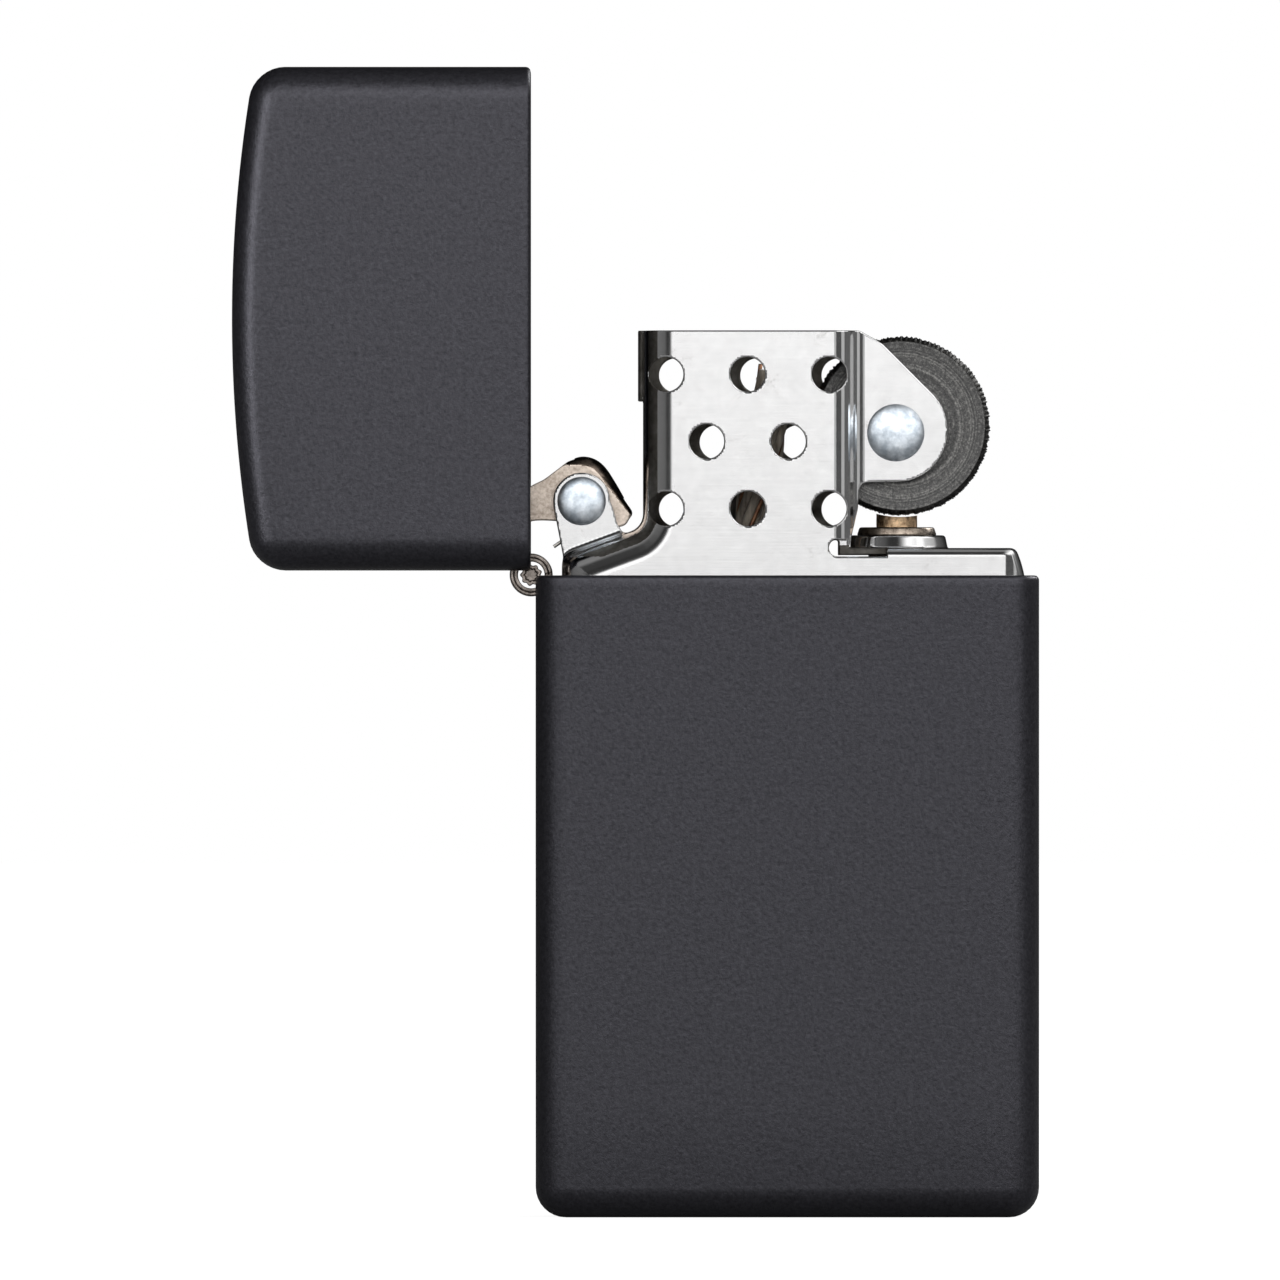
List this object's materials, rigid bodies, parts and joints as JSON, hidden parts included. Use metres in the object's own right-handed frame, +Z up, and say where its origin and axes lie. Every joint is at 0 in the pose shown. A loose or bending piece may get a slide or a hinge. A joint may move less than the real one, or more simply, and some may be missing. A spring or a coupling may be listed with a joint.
{
  "type": "lighter",
  "caption": "Slim flip-top wick lighter with a hinged lid, a perforated chimney and a knurled spark wheel, lid open.",
  "frame": {"origin": "middle of the case's flat base", "axes": "+Z up through the chimney, +X to the right towards the spark wheel, -Y out of the front face; the lid stands open on the -X side"},
  "size_m": [0.0481, 0.01, 0.0685],
  "materials": {
    "case_paint": "matte black paint with a very fine crinkle",
    "insert_steel": "bright satin sheet steel",
    "rivet_steel": "smooth domed heads",
    "wheel_steel": "dark hardened steel with turned faces and a knurled rim",
    "cam_metal": "dull tan, grainy",
    "hinge_metal": "dull, worn",
    "spring_steel": "drawn wire and strip",
    "brass": "turned",
    "flint": "matte, brown, pitted",
    "wick_cotton": "twisted cotton strands",
    "copper": "fine bare copper wire",
    "packing": "loose cotton",
    "felt": "pressed felt"
  },
  "bodies": {
    "case": {"case_bottom": "case_paint", "hinge_leaf_case": "hinge_metal", "hinge_pin": "hinge_metal", "insert_shell": "insert_steel", "cam_rivet": "rivet_steel", "cam_spring": "spring_steel", "cam_spring_rivet": "rivet_steel", "wheel_rivet": "rivet_steel", "flint_tube": "brass", "flint_spring": "spring_steel", "flint_screw": "brass", "wick": "wick_cotton", "wick_wires": "copper", "packing_ball_1": "packing", "packing_ball_2": "packing", "packing_ball_3": "packing", "packing_ball_4": "packing", "packing_ball_5": "packing", "felt_pad": "felt"},
    "lid": {"case_lid": "case_paint", "hinge_leaf_lid": "hinge_metal"},
    "cam": {"cam": "cam_metal"},
    "wheel": {"flint_wheel": "wheel_steel"},
    "flint_stack": {"flint": "flint", "flint_plunger": "brass"}
  },
  "joints": [
    {"name": "lid_hinge", "type": "hinge", "parent": "case", "child": "lid", "pos_m": [-0.01527, 0, 0.03828], "axis": [0, 1, 0], "range_deg": [-15, 90]},
    {"name": "cam_pivot", "type": "hinge", "parent": "case", "child": "cam", "pos_m": [-0.01226, 0, 0.04268], "axis": [0, 1, 0], "range_deg": [-15.5, 90.5], "deforming": ["cam_spring"]},
    {"name": "wheel_spin", "type": "hinge", "parent": "case", "child": "wheel", "pos_m": [0.00676, 0, 0.04717], "axis": [0, 1, 0], "continuous": true},
    {"name": "flint_feed", "type": "slide", "parent": "case", "child": "flint_stack", "axis": [0, 0, 1], "range_m": [-0.002, 0], "deforming": ["flint_spring"]}
  ],
  "couplings": [
    {"joint": "cam_pivot", "follows": "lid_hinge", "ratio": 1}
  ]
}
